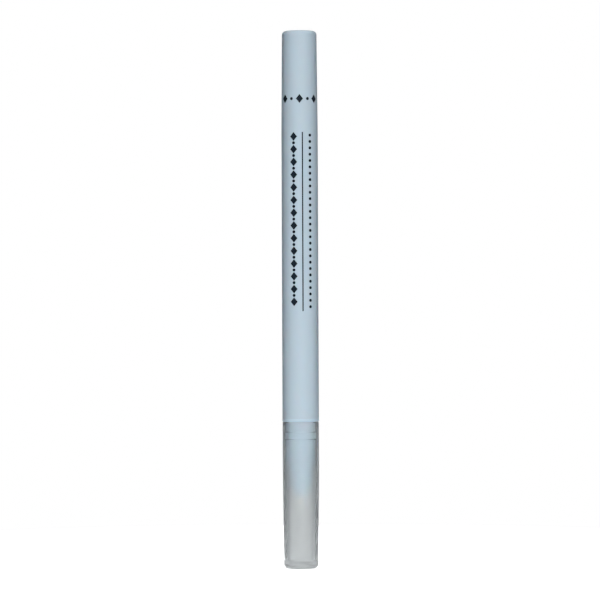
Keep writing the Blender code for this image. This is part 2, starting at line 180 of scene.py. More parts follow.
class FrontSectionSettings(bpy.types.PropertyGroup):
    tint: colour("Tint", "Blue of this second moulding, a shade paler than the barrel's", "#BCD1DF")
    rim_gap: length("Rim Gap", "Gap between the flange and the rim of the cap", 0.05)
    flange_height: length("Flange Height", "Height of the flange that the cap closes on", 0.74)
    flange_rounding: length("Flange Rounding", "Radius of the flange's lower edge", 0.15)
    flange_edge: length("Flange Edge", "Radius of the flange's upper edge", 0.03)
    flange_proud: length("Flange Proud", "How far the flange stands out from the barrel", 0.01)
    neck_radius: length("Neck Radius", "Radius of the neck under the cap", 3.67)
    neck_length: length("Neck Length", "Length of the neck from the flange", 11.3)
    neck_wall: length("Neck Wall", "Thickness of the neck's wall", 0.6)
    neck_root: length("Neck Root", "Radius between the neck and the flange", 0.08)
    neck_rounding: length("Neck Rounding", "Radius round the end of the neck", 0.3)
    neck_floor: length("Neck Floor", "Thickness of the floor in the neck's end", 0.6)
    shoulder_length: length("Shoulder Length", "Length of the cone between neck and nose", 0.8)
    nose_radius: length("Nose Radius", "Radius of the nose", 2.85)
    nose_length: length("Nose Length", "Length of the nose", 4.6)
    nose_root: length("Nose Root", "Radius between the shoulder and the nose", 0.15)
    nose_rounding: length("Nose Rounding", "Radius between the nose and the cone", 0.3)
    tip_radius: length("Tip Radius", "Radius of the cone's open end", 1.9)
    tip_rounding: length("Tip Rounding", "Radius of that end's outer edge", 0.22)
    bore_edge: length("Bore Edge", "Radius of the bore's edge at that end", 0.05)
    throat_radius: length("Throat Radius", "Radius of the hollow behind the collar", 2.1)
    collar_length: length("Collar Length", "Length of the collar that holds the nib", 4.7)
    bore_radius: length("Bore Radius", "Radius of the collar's bore between its ribs", 1.35)
    rib_gap: length("Rib Gap", "Gap between the nib and its ribs", 0.05)
    rib_thickness: length("Rib Thickness", "Thickness of those ribs", 0.5)
    rib_inset: length("Rib Inset", "How far those ribs stop short of the collar's ends", 0.2)
    rib_count: count("Rib Count", "Ribs that hold the nib", 3)
    bead_distance: length("Bead Distance", "Distance of the snap bead from the flange", 3.9)
    bead_width: length("Bead Width", "Width of the snap bead along the neck", 1.7)
    bead_height: length("Bead Height", "How far the snap bead stands proud", 0.15)
    vent_width: length("Vent Width", "Width of the vents that break the bead", 1.3)
    vent_depth: length("Vent Depth", "How deep the vents cut into the neck", 0.1)
    vent_run_out: length("Vent Run Out", "How far the vents run past the bead", 0.3)
    vent_count: count("Vent Count", "Vents round the bead", 4)
    vent_turn: angle("Vent Turn", "Angle of the first vent", 56)
    plug_radius: length("Plug Radius", "Radius of the plug inside the barrel", 3.9)
    plug_rounding: length("Plug Rounding", "Radius of the edges at the plug's end", 0.2)
    ring_distance: length("Ring Distance", "Distance of the plug's first ring from the neck's top", 4.45)
    ring_spacing: length("Ring Spacing", "Distance from ring to ring", 3.6)
    ring_width: length("Ring Width", "Width of a ring along the plug", 1.0)
    ring_height: length("Ring Height", "How far the rings stand proud", 0.12)
    ring_count: count("Ring Count", "Rings round the plug", 2)


class CapSettings(bpy.types.PropertyGroup):
    tint: colour("Tint", "Grey white of the frosted polypropylene", "#DBDEDF")
    wall: length("Wall", "Thickness of the cap's wall", 0.85)
    straight_length: length("Straight Length", "Length below the rim that is not drawn in", 8.5)
    draw: length("Draw", "How much the radius shrinks towards the closed end", 0.32)
    draw_power: number("Draw Power", "1 is a straight cone", 1.45)
    end_rounding: length("End Rounding", "Radius round the closed end", 1.0)
    rim_rounding: length("Rim Rounding", "Radius of the rim's outer edge", 0.2)
    mouth_chamfer: length("Mouth Chamfer", "Lead-in at the cap's mouth", 0.25)
    mouth_rounding: length("Mouth Rounding", "Radius of the lead-in's edges", 0.08)
    floor_height: length("Floor Height", "Height of the inner floor over the foot", 1.25)
    floor_fillet: length("Floor Fillet", "Radius between the inner floor and wall", 0.8)
    groove_depth: length("Groove Depth", "Depth of the groove for the snap bead", 0.12)
    groove_width: length("Groove Width", "Width of that groove", 2.0)
    foot_height: length("Foot Height", "Depth of the recess inside the foot ring", 0.25)
    foot_radius: length("Foot Radius", "Radius of that recess", 2.6)
    foot_rounding: length("Foot Rounding", "Radius of its edges", 0.1)
    outside_roughness: number("Outside Roughness", "Roughness of the outer wall", 0.2)
    foot_roughness: number("Foot Roughness", "Roughness of the matt foot", 0.5)
    inside_roughness: number("Inside Roughness", "Roughness of the matt inner wall", 0.5)
    gloss: number("Gloss", "Strength of the cap's reflections", 0.5)
    clearness: number("Clearness", "Share of the light that goes through", 0.9)


class NibSettings(bpy.types.PropertyGroup):
    tint: colour("Tint", "White of the bonded polyester felt", "#F1F0EA")
    point_length: length("Point Length", "Length of the nib's cone", 2.2)
    point_radius: length("Point Radius", "Radius of its blunt point", 0.35)
    cone_rounding: length("Cone Rounding", "Radius round the cone's wide end", 0.3)
    tail_chamfer: length("Tail Chamfer", "Chamfer of its tail", 0.3)
    fibre_relief: length("Fibre Relief", "How far the fibres stand in and out", 0.03)
    fibre_width: length("Fibre Width", "Width of a bundle of fibres", 0.22)
    fibre_length: length("Fibre Length", "Length over which a bundle wanders", 2.5)


class PrintSettings(bpy.types.PropertyGroup):
    ink: colour("Ink", "Blue black of the pad-printed ink", "#07131E")
    thickness: length("Thickness", "Thickness of the ink film", 0.015)
    top: length("Top", "Upper end of the long print", 113.5)
    bottom: length("Bottom", "Lower end of the long print", 67.0)
    rule_width: length("Rule Width", "Width of the thin rule", 0.32)
    rule_offset: length("Rule Offset", "From the pen's middle to the rule, round the barrel", 0.73)
    large_offset: length("Large Offset", "From the pen's middle to the row of lozenges", -1.62)
    large_pitch: length("Large Pitch", "From lozenge to lozenge", 3.3)
    large_width: length("Large Width", "Width of a lozenge, round the barrel", 1.9)
    large_height: length("Large Height", "Height of a lozenge, along the barrel", 2.3)
    small_offset: length("Small Offset", "From the pen's middle to the row of dots", 2.84)
    small_pitch: length("Small Pitch", "From dot to dot", 1.65)
    dot_width: length("Dot Width", "Diameter of a dot", 0.8)
    band_height: length("Band Height", "Middle of the short band", 122.2)
    band_spacing: length("Band Spacing", "From mark to mark in the short band", 2.2)


class StudioSettings(bpy.types.PropertyGroup):
    distance: length("Camera Distance", "From the lens to the pen's axis", 950.0)
    height: length("Camera Height", "Height of the lens over the foot", 69.9)
    side: length("Camera Side", "How far the lens stands to the right", -0.06)
    frame_width: length("Frame Width", "Width that the picture covers at the pen", 156.44)
    roll: angle("Roll", "Roll of the camera", 0.23)
    key_power: number("Key Power", "Power of the front softbox", 7.0)
    fill_power: number("Fill Power", "Power of the wide soft fill", 9.85)
    rear_power: number("Rear Power", "Power of each rear softbox", 5.0)
    key_inside: number("Key Inside", "Power of the key inside the cap", 44.0)
    rear_inside: number("Rear Inside", "Power of each rear light inside the cap", 13.0)
    top_power: number("Top Power", "Power of the spot over the barrel's end", 3.5)
    top_distance: length("Top Distance", "Height of that spot over the barrel's end", 500.0)
    top_spread: number("Top Spread", "Radius that it lights there, in barrel radii", 2.5)
    ambient: number("Ambient", "Strength of the plain room light", 0.02)
    floor_glow: number("Floor Glow", "How much the white floor glows", 0.85)
    floor_radius: length("Floor Radius", "Radius of the white floor", 180.0)
    floor_drop: length("Floor Drop", "How far the floor lies below the foot", 0.02)
    card_grey: colour("Card Grey", "Blue grey of the cards beside and over the pen", "#4F5359")
    card_distance: length("Card Distance", "From the pen to the cards", 24.0)
    card_reach: length("Card Reach", "How far the cards reach behind the pen", 120.0)
    card_front: length("Card Front", "How far the cards reach before the pen", 8.0)


class CorrectorPenSettings(bpy.types.PropertyGroup):
    barrel: PointerProperty(type=BarrelSettings)
    front_section: PointerProperty(type=FrontSectionSettings)
    cap: PointerProperty(type=CapSettings)
    nib: PointerProperty(type=NibSettings)
    marks: PointerProperty(type=PrintSettings)
    studio: PointerProperty(type=StudioSettings)


def add_node(tree, kind, settings=None, links=None):
    """Adds a node with its settings, and links of input name or number to another node's output."""
    node = tree.nodes.new(kind)
    for name, value in (settings or {}).items():
        if name in node.inputs:
            node.inputs[name].default_value = value
        else:
            setattr(node, name, value)
    for name, output in (links or {}).items():
        tree.links.new(output, node.inputs[name])
    return node


def new_material(name, **values):
    """A material with a Principled shader set to these values, its tree and that shader."""
    material = bpy.data.materials.new(name)
    material.use_nodes = True
    shader = material.node_tree.nodes["Principled BSDF"]
    for key, value in values.items():
        socket = key.replace("_", " ").title().replace("Ior", "IOR")
        shader.inputs[socket].default_value = (*value, 1.0) if isinstance(value, tuple) else value
    return material, material.node_tree, shader


def looked_along(tree):
    """An output that is 1 along rays by which the room is seen, in gloss and through the cap too, else 0."""
    path = add_node(tree, "ShaderNodeLightPath")
    direct = add_node(
        tree,
        "ShaderNodeMath",
        {"operation": "MAXIMUM"},
        {0: path.outputs["Is Camera Ray"], 1: path.outputs["Is Transmission Ray"]},
    )
    either = add_node(
        tree,
        "ShaderNodeMath",
        {"operation": "MAXIMUM"},
        {0: direct.outputs[0], 1: path.outputs["Is Glossy Ray"]},
    )
    return either.outputs[0]


def profile(corners, closed=False):
    """A bmesh of one outline of (radius, height, rounding), its corners rounded by these radii."""
    bm = bmesh.new()
    points = [(bm.verts.new((radius, 0.0, height)), rounding) for radius, height, rounding in corners]
    for (first, _), (second, _) in zip(points, points[1:]):
        bm.edges.new((first, second))
    if closed:
        bm.edges.new((points[-1][0], points[0][0]))
    for point, rounding in points:
        if rounding:
            bmesh.ops.bevel(
                bm,
                geom=[point],
                offset=rounding,
                offset_type="OFFSET",
                segments=ROUNDING_STEPS,
                profile=0.5,
                affect="VERTICES",
                material=-1,
            )
    for edge in [edge for edge in bm.edges if edge.calc_length() > LONG]:
        first, last = edge.verts
        along = edge.calc_length()
        _, near = bmesh.utils.edge_split(edge, first, HOLD / along)
        rest = next(part for part in near.link_edges if last in part.verts)
        bmesh.utils.edge_split(rest, last, HOLD / (along - HOLD))
    return bm


def turn(bm, steps=ROUND_STEPS):
    """Spins an outline about Z into a closed shell whose faces point outwards."""
    bmesh.ops.spin(
        bm,
        geom=bm.verts[:] + bm.edges[:],
        cent=(0.0, 0.0, 0.0),
        axis=(0.0, 0.0, 1.0),
        angle=2 * math.pi,
        steps=steps,
        use_merge=True,
    )
    bmesh.ops.remove_doubles(bm, verts=bm.verts, dist=MERGED)
    bmesh.ops.recalc_face_normals(bm, faces=bm.faces)
    return bm


def cut_across(bm, place, normal):
    """Divides the faces of a bmesh along a plane, and removes nothing."""
    bmesh.ops.bisect_plane(bm, geom=bm.verts[:] + bm.edges[:] + bm.faces[:], plane_co=place, plane_no=normal)


def piece(name, bm, material, body=None, node=None):
    """Makes the finished object of a bmesh, and hangs it on its body in the place of its node."""
    mesh = bpy.data.meshes.new(name)
    bm.to_mesh(mesh)
    bm.free()
    mesh.shade_smooth()
    mesh.set_sharp_from_angle(angle=SHARP_ANGLE)
    made = bpy.data.objects.new(name, mesh)
    bpy.context.scene.collection.objects.link(made)
    if material:
        mesh.materials.append(material)
    if body:
        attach(made, body)
    if node:
        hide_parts(node)
    return made


def cut_out(target, cutters, operation="DIFFERENCE"):
    """Cuts or joins each cutter into the target for good, and removes the cutters."""
    for cutter in cutters:
        step = target.modifiers.new(cutter.name, "BOOLEAN")
        step.operation = operation
        step.solver = "EXACT"
        step.object = cutter
    graph = bpy.context.evaluated_depsgraph_get()
    mesh = bpy.data.meshes.new_from_object(target.evaluated_get(graph))
    target.modifiers.clear()
    target.data = mesh
    mesh.shade_smooth()
    mesh.set_sharp_from_angle(angle=SHARP_ANGLE)
    for cutter in cutters:
        bpy.data.objects.remove(cutter)


def evenly(start, end, steps):
    """Values from start to end, both included."""
    return [start + (end - start) * i / steps for i in range(steps + 1)]


def barrel_radius(s, height):
    """Outside radius of the barrel at a height."""
    draft_share = (height - BARREL_MOUTH) / (BARREL_END - BARREL_MOUTH)
    draw_share = max(0.0, (height - BARREL_END + s.draw_length) / s.draw_length)
    return BARREL_RADIUS - s.draft * draft_share - s.draw * draw_share**s.draw_power


def cap_radius(s, height):
    """Outside radius of the cap at a height."""
    draw_length = CAP_TOP - s.straight_length
    share = max(0.0, (draw_length - height) / draw_length)
    return CAP_RADIUS - s.draw * share**s.draw_power


def bump(radius, rise, centre, width):
    """Corners of a rounded ridge on a wall, or of a groove in a bore, up along it."""
    crest_share, rounding_share = 0.85, 0.03
    half, rounding = width / 2, width * rounding_share
    return [
        (radius, centre - half, rounding),
        (radius + rise, centre - half * crest_share, rounding),
        (radius + rise, centre + half * crest_share, rounding),
        (radius, centre + half, rounding),
    ]


def ring_middles(s):
    """Heights of the plug's rings, which are also those of the grooves in its seat."""
    return [NECK_TOP + s.ring_distance + i * s.ring_spacing for i in range(s.ring_count)]


def plates(outline, thickness, copies):
    """Even plates round the axis, each an upright outline of (radius, height) with this thickness."""
    bm = bmesh.new()
    face = bm.faces.new([bm.verts.new((radius, -thickness / 2, height)) for radius, height in outline])
    grown = bmesh.ops.extrude_face_region(bm, geom=[face], use_keep_orig=True)["geom"]
    moved = [part for part in grown if isinstance(part, bmesh.types.BMVert)]
    bmesh.ops.translate(bm, verts=moved, vec=(0.0, thickness, 0.0))
    bmesh.ops.recalc_face_normals(bm, faces=bm.faces)
    bmesh.ops.spin(
        bm,
        geom=bm.verts[:] + bm.edges[:] + bm.faces[:],
        cent=(0.0, 0.0, 0.0),
        axis=(0.0, 0.0, 1.0),
        angle=2 * math.pi * (copies - 1) / copies,
        steps=copies - 1,
        use_duplicate=True,
    )
    return bm


def wander(tree, width, detail, along=None):
    """A noise of this width, drawn out along Z to another length where one is given."""
    place = add_node(tree, "ShaderNodeTexCoord")
    scale = (1 / width, 1 / width, 1 / (along or width))
    spread = add_node(tree, "ShaderNodeMapping", {"Scale": scale}, {"Vector": place.outputs["Object"]})
    pattern = add_node(
        tree, "ShaderNodeTexNoise", {"Scale": 1.0, "Detail": detail}, {"Vector": spread.outputs["Vector"]}
    )
    return pattern.outputs["Fac"]


def raised(tree, shader, width, depth, strength, detail=3.0, along=None):
    """Raises such a noise on the surface, and returns it."""
    pattern = wander(tree, width, detail, along)
    bumped = add_node(tree, "ShaderNodeBump", {"Strength": strength, "Distance": depth}, {"Height": pattern})
    tree.links.new(bumped.outputs["Normal"], shader.inputs["Normal"])
    return pattern


def clouded(tree, shader, width, detail, low, high):
    """Lets the roughness wander between these two values."""
    rough = add_node(
        tree,
        "ShaderNodeMapRange",
        {"From Min": NOISE_LOW, "From Max": NOISE_HIGH, "To Min": low, "To Max": high},
        {"Value": wander(tree, width, detail)},
    )
    tree.links.new(rough.outputs["Result"], shader.inputs["Roughness"])


def satin_polypropylene(name, tint):
    """Injection-moulded polypropylene from a finely spark-eroded tool: an even satin with a faint grain."""
    material, tree, shader = new_material(
        name,
        base_color=tint,
        ior=1.49,
        specular_ior_level=0.3,
        subsurface_weight=0.1,
        subsurface_scale=0.6 * MM,
    )
    # Spark erosion leaves pits about 0.03 mm across. They are drawn 0.35 mm across, so that they just show.
    raised(tree, shader, width=0.35 * MM, depth=0.02 * MM, strength=0.12)
    # No moulding cools evenly, which clouds the gloss a little
    clouded(tree, shader, width=14 * MM, detail=2.0, low=0.48, high=0.54)
    return material


def frosted_polypropylene(s):
    """Natural polypropylene from a tool with a matt core: what touches it inside shows, the rest blurs."""
    material, tree, shader = new_material(
        "frosted natural polypropylene",
        base_color=tuple(s.tint),
        ior=1.49,
        specular_ior_level=s.gloss,
        transmission_weight=s.clearness,
    )
    # Shares of the wall and of the floor's height over which the inner finish starts, and of that height
    # over which the matt foot turns into the outer wall
    wall_shares, floor_shares, foot_shares = (0.6, 0.75), (0.4, 0.6), (1.2, 2.0)
    place = add_node(tree, "ShaderNodeTexCoord")
    axes = add_node(tree, "ShaderNodeSeparateXYZ", {}, {"Vector": place.outputs["Object"]})
    flat = add_node(tree, "ShaderNodeCombineXYZ", {}, {"X": axes.outputs["X"], "Y": axes.outputs["Y"]})
    away = add_node(tree, "ShaderNodeVectorMath", {"operation": "LENGTH"}, {0: flat.outputs["Vector"]})
    within = add_node(
        tree,
        "ShaderNodeMapRange",
        {"From Min": CAP_RADIUS - wall_shares[0] * s.wall, "From Max": CAP_RADIUS - wall_shares[1] * s.wall},
        {"Value": away.outputs["Value"]},
    )
    above = add_node(
        tree,
        "ShaderNodeMapRange",
        {"From Min": floor_shares[0] * s.floor_height, "From Max": floor_shares[1] * s.floor_height},
        {"Value": axes.outputs["Z"]},
    )
    inside = add_node(
        tree,
        "ShaderNodeMath",
        {"operation": "MULTIPLY"},
        {0: within.outputs["Result"], 1: above.outputs["Result"]},
    )
    outside = add_node(
        tree,
        "ShaderNodeMapRange",
        {
            "From Min": foot_shares[0] * s.floor_height,
            "From Max": foot_shares[1] * s.floor_height,
            "To Min": s.foot_roughness,
            "To Max": s.outside_roughness,
        },
        {"Value": axes.outputs["Z"]},
    )
    rough = add_node(
        tree,
        "ShaderNodeMapRange",
        {"To Max": s.inside_roughness},
        {"Value": inside.outputs[0], "To Min": outside.outputs["Result"]},
    )
    tree.links.new(rough.outputs["Result"], shader.inputs["Roughness"])
    # The tool's marks are finer than can show, so they are drawn 0.3 mm across
    raised(tree, shader, width=0.3 * MM, depth=0.02 * MM, strength=0.1, detail=2.0)
    return material


def polyester_felt(tint):
    """Bonded polyester fibre, ground to a point: dry, dull and streaked along its fibres."""
    material, tree, shader = new_material(
        "bonded polyester felt",
        base_color=tint,
        roughness=0.95,
        ior=1.5,
        subsurface_weight=0.2,
        subsurface_scale=0.5 * MM,
    )
    # A fibre is 0.02 mm thick. The streaks are drawn 0.12 mm wide, so that they just show.
    raised(tree, shader, width=0.12 * MM, depth=0.03 * MM, strength=0.5, along=1.5 * MM)
    return material


def bundled_fibre():
    """Polyester fibre drawn into a rod: fine bright streaks along it, a little darker where it is wet."""
    material, tree, shader = new_material("drawn polyester fibre", roughness=0.8, ior=1.5)
    # These streaks are drawn 0.15 mm wide, so that they just show
    streak = raised(tree, shader, width=0.15 * MM, depth=0.03 * MM, strength=0.4, along=4 * MM)
    shade = add_node(
        tree,
        "ShaderNodeMix",
        {"data_type": "RGBA", "A": (*linear("#D9DBD8"), 1.0), "B": (*linear("#F2F3F1"), 1.0)},
        {"Factor": streak},
    )
    tree.links.new(shade.outputs["Result"], shader.inputs["Base Color"])
    return material


def clear_film():
    """Polypropylene film: thin, clear and glossy, with the faint ripples of a film that was wound on."""
    material, tree, shader = new_material(
        "clear wound polypropylene film",
        base_color=linear("#F3F6F7"),
        roughness=0.12,
        ior=1.49,
        transmission_weight=0.9,
    )
    raised(tree, shader, width=2.5 * MM, depth=0.1 * MM, strength=0.15, detail=1.0)
    return material


def printed_ink(ink):
    """Pad-printed ink: a thin film with a low gloss, a shade uneven because one press lays it on."""
    material, tree, shader = new_material("pad-printed ink", base_color=ink, ior=1.5, specular_ior_level=0.2)
    clouded(tree, shader, width=0.6 * MM, detail=3.0, low=0.55, high=0.68)
    return material


class CORRECTOR_PEN_OT_barrel(bpy.types.Operator):
    """Turn the barrel with its closed end, its gate dimple and the seat of the front section"""

    bl_idname = "corrector_pen.barrel"
    bl_label = "Barrel"

    def execute(self, context):
        pen = context.scene.corrector_pen
        s, section = pen.barrel, pen.front_section
        draw_start, round_start = BARREL_END - s.draw_length, BARREL_END - s.end_rounding
        bore_radius, bore_end = BARREL_RADIUS - s.wall, BARREL_END - s.end_wall
        seat_radius, seat_end = BARREL_RADIUS - s.seat_wall, PLUG_END + s.seat_clearance
        groove_width = section.ring_width + s.groove_clearance
        corners = [
            (0.0, bore_end, 0.0),
            (bore_radius - s.draw, bore_end, s.bore_rounding),
            (bore_radius, draw_start, 0.0),
            (bore_radius, seat_end, 0.0),
            (seat_radius, seat_end, 0.0),
        ]
        for middle in reversed(ring_middles(section)):
            corners += reversed(bump(seat_radius, section.ring_height, middle, groove_width))
        corners += [
            (seat_radius, BARREL_MOUTH + s.mouth_chamfer, 0.0),
            (seat_radius + s.mouth_chamfer, BARREL_MOUTH, 0.0),
            (BARREL_RADIUS, BARREL_MOUTH, s.mouth_rounding),
        ]
        corners += [(barrel_radius(s, z), z, 0.0) for z in evenly(draw_start, round_start, DRAW_STEPS)]
        corners += [
            (barrel_radius(s, BARREL_END), BARREL_END, s.end_rounding * END_SHARE),
            (s.dimple_radius, BARREL_END, s.dimple_rim),
            (s.dimple_radius - s.dimple_depth, BARREL_END - s.dimple_depth, s.dimple_rounding),
            (0.0, BARREL_END - s.dimple_depth, 0.0),
        ]
        material = satin_polypropylene("pale blue polypropylene", tuple(s.tint))
        made = piece("barrel_shell", turn(profile(corners)), material, "pen", "barrel")
        cut_out(made, [self.ribs(s, bore_radius, bore_end, seat_end)], "UNION")
        return {"FINISHED"}

    def ribs(self, s, bore_radius, bore_end, start):
        """Ribs that centre the reservoir, and reach in as fins behind it."""
        outer, top = bore_radius + SUNK, bore_end + 2 * SUNK
        fin_start = bore_end - s.fin_length
        outline = [
            (s.rib_radius, start),
            (outer, start),
            (outer, top),
            (s.fin_radius, top),
            (s.fin_radius, fin_start + s.fin_slope),
            (s.rib_radius, fin_start),
        ]
        return piece("ribs", plates(outline, s.rib_thickness, s.rib_count), None)


class CORRECTOR_PEN_OT_front_section(bpy.types.Operator):
    """Turn the flange, neck, nose and cone, and cut the vents and the nib's ribbed bore"""

    bl_idname = "corrector_pen.front_section"
    bl_label = "Front Section"

    def execute(self, context):
        s = context.scene.corrector_pen.front_section
        face, flange_radius = CAP_TOP + s.rim_gap, BARREL_RADIUS + s.flange_proud
        neck_end = NECK_TOP - s.neck_length
        nose_top = neck_end - s.shoulder_length
        cone_top = nose_top - s.nose_length
        cavity_radius, cavity_floor = s.neck_radius - s.neck_wall, neck_end + s.neck_floor
        collar_end = SECTION_TIP + s.collar_length
        corners = [
            (s.bore_radius, SECTION_TIP, s.bore_edge),
            (s.tip_radius, SECTION_TIP, s.tip_rounding),
            (s.nose_radius, cone_top, s.nose_rounding),
            (s.nose_radius, nose_top, s.nose_root),
            (s.neck_radius, neck_end, s.neck_rounding),
        ]
        corners += bump(s.neck_radius, s.bead_height, NECK_TOP - s.bead_distance, s.bead_width)
        corners += [
            (s.neck_radius, face, s.neck_root),
            (flange_radius, face, s.flange_rounding),
            (flange_radius, face + s.flange_height, s.flange_edge),
            (s.plug_radius, face + s.flange_height, 0.0),
        ]
        for middle in ring_middles(s):
            corners += bump(s.plug_radius, s.ring_height, middle, s.ring_width)
        corners += [
            (s.plug_radius, PLUG_END, s.plug_rounding),
            (cavity_radius, PLUG_END, s.plug_rounding),
            (cavity_radius, cavity_floor, 0.0),
            (s.throat_radius, cavity_floor, 0.0),
            (s.throat_radius, collar_end, 0.0),
            (s.bore_radius, collar_end, 0.0),
        ]
        material = satin_polypropylene("paler blue polypropylene", tuple(s.tint))
        shell = turn(profile(corners, closed=True))
        made = piece("front_section_shell", shell, material, "pen", "front_section")
        cut_out(made, [self.vents(s)])
        cut_out(made, [self.ribs(s, collar_end)], "UNION")
        return {"FINISHED"}

    def vents(self, s):
        """Blocks that break the snap bead."""
        reach = s.vent_depth + 2 * s.bead_height
        middle = s.neck_radius - s.vent_depth + reach / 2
        size = Matrix.Diagonal((reach, s.vent_width, s.bead_width + 2 * s.vent_run_out, 1.0))
        place = Matrix.Translation((middle, 0.0, NECK_TOP - s.bead_distance))
        bm = bmesh.new()
        for i in range(s.vent_count):
            around = Matrix.Rotation(s.vent_turn + 2 * math.pi * i / s.vent_count, 4, "Z")
            bmesh.ops.create_cube(bm, size=1.0, matrix=around @ place @ size)
        return piece("vents", bm, None)

    def ribs(self, s, collar_end):
        """Ribs that stand in the bore and hold the nib."""
        inner, outer = NIB_RADIUS + s.rib_gap, s.bore_radius + SUNK
        low, high = SECTION_TIP + s.rib_inset, collar_end - s.rib_inset
        outline = [(inner, low), (outer, low), (outer, high), (inner, high)]
        return piece("ribs", plates(outline, s.rib_thickness, s.rib_count), None)


class CORRECTOR_PEN_OT_cap(bpy.types.Operator):
    """Turn the frosted cap with its inner wall, its snap groove and its foot ring"""

    bl_idname = "corrector_pen.cap"
    bl_label = "Cap"

    def execute(self, context):
        pen = context.scene.corrector_pen
        s, section = pen.cap, pen.front_section
        draw_start = CAP_TOP - s.straight_length
        bore_radius = CAP_RADIUS - s.wall
        groove = NECK_TOP - section.bead_distance
        fillet_top = s.floor_height + s.floor_fillet
        corners = [
            (0.0, s.floor_height, 0.0),
            (cap_radius(s, s.floor_height) - s.wall, s.floor_height, s.floor_fillet * FILLET_SHARE),
        ]
        corners += [(cap_radius(s, z) - s.wall, z, 0.0) for z in evenly(fillet_top, draw_start, DRAW_STEPS)]
        corners += bump(bore_radius, s.groove_depth, groove, s.groove_width)
        corners += [
            (bore_radius, CAP_TOP - s.mouth_chamfer, s.mouth_rounding),
            (bore_radius + s.mouth_chamfer, CAP_TOP, s.mouth_rounding),
            (CAP_RADIUS, CAP_TOP, s.rim_rounding),
        ]
        corners += [(cap_radius(s, z), z, 0.0) for z in evenly(draw_start, s.end_rounding, DRAW_STEPS)]
        corners += [
            (cap_radius(s, 0.0), 0.0, s.end_rounding * END_SHARE),
            (s.foot_radius + s.foot_height, 0.0, s.foot_rounding),
            (s.foot_radius, s.foot_height, s.foot_rounding),
            (0.0, s.foot_height, 0.0),
        ]
        piece("cap_shell", turn(profile(corners)), frosted_polypropylene(s), "cap", "cap")
        return {"FINISHED"}


class CORRECTOR_PEN_OT_nib(bpy.types.Operator):
    """Turn the felt nib and raise the fibres on it"""

    bl_idname = "corrector_pen.nib"
    bl_label = "Nib"

    def execute(self, context):
        s = context.scene.corrector_pen.nib
        # The blunt point is drawn as a flat a little wider than its radius, with a rounding of half of it
        point_flat, point_rounding = 1.1 * s.point_radius, 0.5 * s.point_radius
        corners = [
            (0.0, NIB_POINT, 0.0),
            (point_flat, NIB_POINT, point_rounding),
            (NIB_RADIUS, NIB_POINT + s.point_length, s.cone_rounding),
            (NIB_RADIUS, NIB_TAIL, s.tail_chamfer),
            (0.0, NIB_TAIL, 0.0),
        ]
        bm = turn(profile(corners), NIB_STEPS)
        for height in evenly(NIB_POINT, NIB_TAIL, NIB_RINGS)[1:-1]:
            cut_across(bm, (0, 0, height), (0, 0, 1))
        fibre_share, fray_share = 0.7, 0.3
        for vert in bm.verts:
            x, y, z = vert.co
            fibre = noise.noise(Vector((x / s.fibre_width, y / s.fibre_width, z / s.fibre_length)))
            fray = noise.noise(Vector((x, y, z)) / s.fibre_width)
            if math.hypot(x, y) > s.point_radius:
                # The relief only sinks in, so that the fibres stay inside the ribs that hold them
                depth = s.fibre_relief * (fibre_share * (1 - fibre) + fray_share * (1 - fray))
                vert.co.xy *= 1 - depth / NIB_RADIUS
        piece("nib_felt", bm, polyester_felt(tuple(s.tint)), "nib", "nib")
        return {"FINISHED"}


class CORRECTOR_PEN_OT_reservoir(bpy.types.Operator):
    """Finish the soaked fibre rod and its film, which keep the shapes of the solids"""

    bl_idname = "corrector_pen.reservoir"
    bl_label = "Reservoir"

    def execute(self, context):
        for name, material in (("reservoir_core", bundled_fibre()), ("reservoir_film", clear_film())):
            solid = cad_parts[name]
            if not solid.material_slots:
                solid.data.materials.append(None)
            for slot in solid.material_slots:
                slot.material = material
        return {"FINISHED"}


